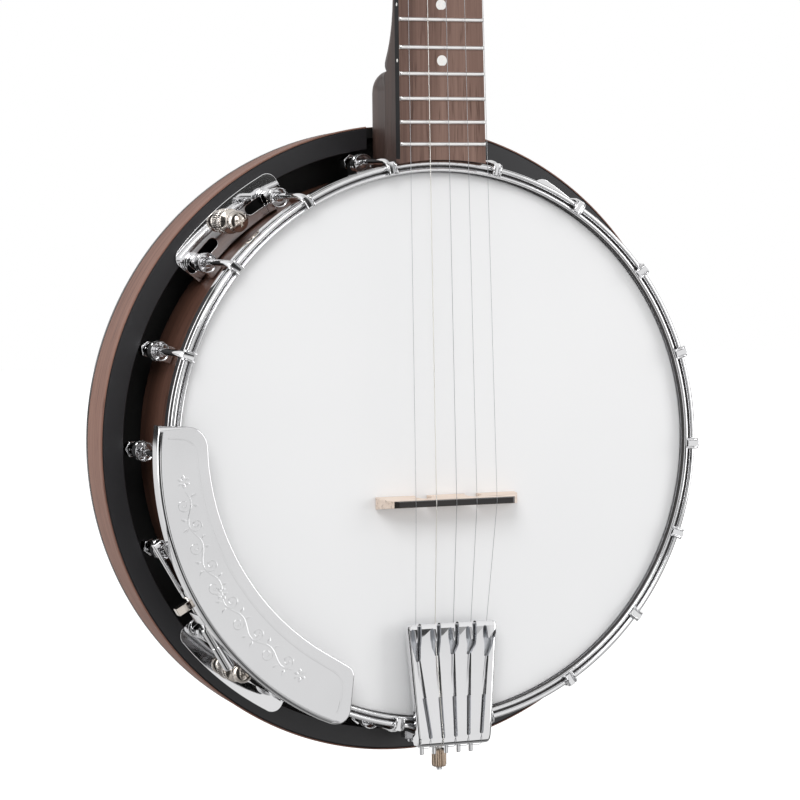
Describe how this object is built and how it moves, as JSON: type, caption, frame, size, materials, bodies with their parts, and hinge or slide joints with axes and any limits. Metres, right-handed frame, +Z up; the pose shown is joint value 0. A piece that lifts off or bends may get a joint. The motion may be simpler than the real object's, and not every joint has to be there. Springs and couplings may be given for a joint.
{
  "type": "five-string banjo",
  "caption": "Upright five-string banjo with a wooden resonator, bracket-tensioned white head, tailpiece, armrest and fretted neck.",
  "frame": {"origin": "centre of the resonator's flat back", "axes": "+Z up along the neck, -Y the way the head faces, +X to the right as seen from the front"},
  "size_m": [0.3312, 0.0974, 0.9662],
  "materials": {
    "chrome": "polished chrome plate",
    "nickel": "warm satin nickel plate",
    "steel": "plain drawn steel",
    "brass": "cast and turned brass",
    "walnut": "light walnut with a satin lacquer",
    "neck_wood": "dark brown satin hardwood",
    "rosewood": "grey-brown rosewood, oiled",
    "black_satin": "satin black lacquer",
    "head_film": "frosted white film",
    "maple": "plain maple under an ebony cap",
    "bone": "ivory coloured",
    "pearl": "ivory coloured, glossy"
  },
  "bodies": {
    "pot_and_neck": {"rim": "walnut", "tone_ring": "brass", "drum_head": "head_film", "tension_hoop": "chrome", "tension_bracket_01": "chrome", "tension_bracket_02": "chrome", "tension_bracket_03": "chrome", "tension_bracket_04": "chrome", "tension_bracket_05": "chrome", "tension_bracket_06": "chrome", "tension_bracket_07": "chrome", "tension_bracket_08": "chrome", "tension_bracket_09": "chrome", "tension_bracket_10": "chrome", "tension_bracket_11": "chrome", "tension_bracket_12": "chrome", "tension_bracket_13": "chrome", "tension_bracket_14": "chrome", "tension_bracket_15": "chrome", "tension_bracket_16": "chrome", "tension_bracket_17": "chrome", "tension_bracket_18": "chrome", "flange_bracket_1": "chrome", "flange_bracket_2": "chrome", "flange_bracket_3": "chrome", "flange_bracket_4": "chrome", "neck": "neck_wood", "fretboard": "rosewood", "nut": "bone", "coordinator_rod": "steel", "tuner_housing_1": "nickel", "tuner_housing_2": "nickel", "tuner_housing_3": "nickel", "tuner_housing_4": "nickel", "bridge": "maple", "tailpiece": "chrome", "armrest": "chrome", "armrest_clamp": "nickel", "string_1": "steel", "string_2": "steel", "string_3": "steel", "string_4": "steel", "string_5": "steel"},
    "resonator": {"resonator_shell": "walnut", "resonator_ring": "black_satin"},
    "knob_1": {"tuner_knob_1": "pearl"},
    "post_1": {"tuner_post_1": "nickel"},
    "knob_2": {"tuner_knob_2": "pearl"},
    "post_2": {"tuner_post_2": "nickel"},
    "knob_3": {"tuner_knob_3": "pearl"},
    "post_3": {"tuner_post_3": "nickel"},
    "knob_4": {"tuner_knob_4": "pearl"},
    "post_4": {"tuner_post_4": "nickel"},
    "fifth_peg": {"fifth_string_peg": "pearl"},
    "screw_1": {"resonator_screw_1": "nickel"},
    "screw_2": {"resonator_screw_2": "nickel"},
    "screw_3": {"resonator_screw_3": "nickel"},
    "screw_4": {"resonator_screw_4": "nickel"},
    "tail_knob": {"tailpiece_knob": "nickel"},
    "clamp_nut": {"armrest_clamp_nut": "chrome"}
  },
  "joints": [
    {"name": "resonator_off", "type": "slide", "parent": "pot_and_neck", "child": "resonator", "axis": [0, 1, 0], "range_m": [0, 0.07]},
    {"name": "knob_1_turn", "type": "hinge", "parent": "pot_and_neck", "child": "knob_1", "pos_m": [0.0215, -0.06792, 0.69187], "axis": [0, 0.9744, -0.225], "continuous": true},
    {"name": "post_1_turn", "type": "hinge", "parent": "pot_and_neck", "child": "post_1", "pos_m": [0.0215, -0.06792, 0.69187], "axis": [0, 0.9744, -0.225], "continuous": true},
    {"name": "knob_2_turn", "type": "hinge", "parent": "pot_and_neck", "child": "knob_2", "pos_m": [0.0255, -0.05622, 0.74253], "axis": [0, 0.9744, -0.225], "continuous": true},
    {"name": "post_2_turn", "type": "hinge", "parent": "pot_and_neck", "child": "post_2", "pos_m": [0.0255, -0.05622, 0.74253], "axis": [0, 0.9744, -0.225], "continuous": true},
    {"name": "knob_3_turn", "type": "hinge", "parent": "pot_and_neck", "child": "knob_3", "pos_m": [-0.0245, -0.05622, 0.74253], "axis": [0, 0.9744, -0.225], "continuous": true},
    {"name": "post_3_turn", "type": "hinge", "parent": "pot_and_neck", "child": "post_3", "pos_m": [-0.0245, -0.05622, 0.74253], "axis": [0, 0.9744, -0.225], "continuous": true},
    {"name": "knob_4_turn", "type": "hinge", "parent": "pot_and_neck", "child": "knob_4", "pos_m": [-0.0205, -0.06792, 0.69187], "axis": [0, 0.9744, -0.225], "continuous": true},
    {"name": "post_4_turn", "type": "hinge", "parent": "pot_and_neck", "child": "post_4", "pos_m": [-0.0205, -0.06792, 0.69187], "axis": [0, 0.9744, -0.225], "continuous": true},
    {"name": "fifth_peg_turn", "type": "hinge", "parent": "pot_and_neck", "child": "fifth_peg", "pos_m": [-0.01693, -0.07788, 0.492], "axis": [1, 0, 0], "continuous": true},
    {"name": "screw_1_turn", "type": "hinge", "parent": "pot_and_neck", "child": "screw_1", "pos_m": [0.10222, -0.0415, 0.11155], "axis": [0, 1, 0], "continuous": true},
    {"name": "screw_2_turn", "type": "hinge", "parent": "pot_and_neck", "child": "screw_2", "pos_m": [0.09725, -0.0415, -0.1159], "axis": [0, 1, 0], "continuous": true},
    {"name": "screw_3_turn", "type": "hinge", "parent": "pot_and_neck", "child": "screw_3", "pos_m": [-0.09725, -0.0415, -0.1159], "axis": [0, 1, 0], "continuous": true},
    {"name": "screw_4_turn", "type": "hinge", "parent": "pot_and_neck", "child": "screw_4", "pos_m": [-0.09725, -0.0415, 0.1159], "axis": [0, 1, 0], "continuous": true},
    {"name": "tail_knob_turn", "type": "hinge", "parent": "pot_and_neck", "child": "tail_knob", "pos_m": [0.0036, -0.0725, -0.164], "axis": [0, 0, 1], "continuous": true},
    {"name": "clamp_nut_turn", "type": "hinge", "parent": "pot_and_neck", "child": "clamp_nut", "pos_m": [-0.13215, -0.0785, -0.0763], "axis": [0.5, 0, -0.866], "continuous": true}
  ],
  "couplings": [
    {"joint": "post_1_turn", "follows": "knob_1_turn", "ratio": 0.25},
    {"joint": "post_2_turn", "follows": "knob_2_turn", "ratio": 0.25},
    {"joint": "post_3_turn", "follows": "knob_3_turn", "ratio": 0.25},
    {"joint": "post_4_turn", "follows": "knob_4_turn", "ratio": 0.25}
  ]
}
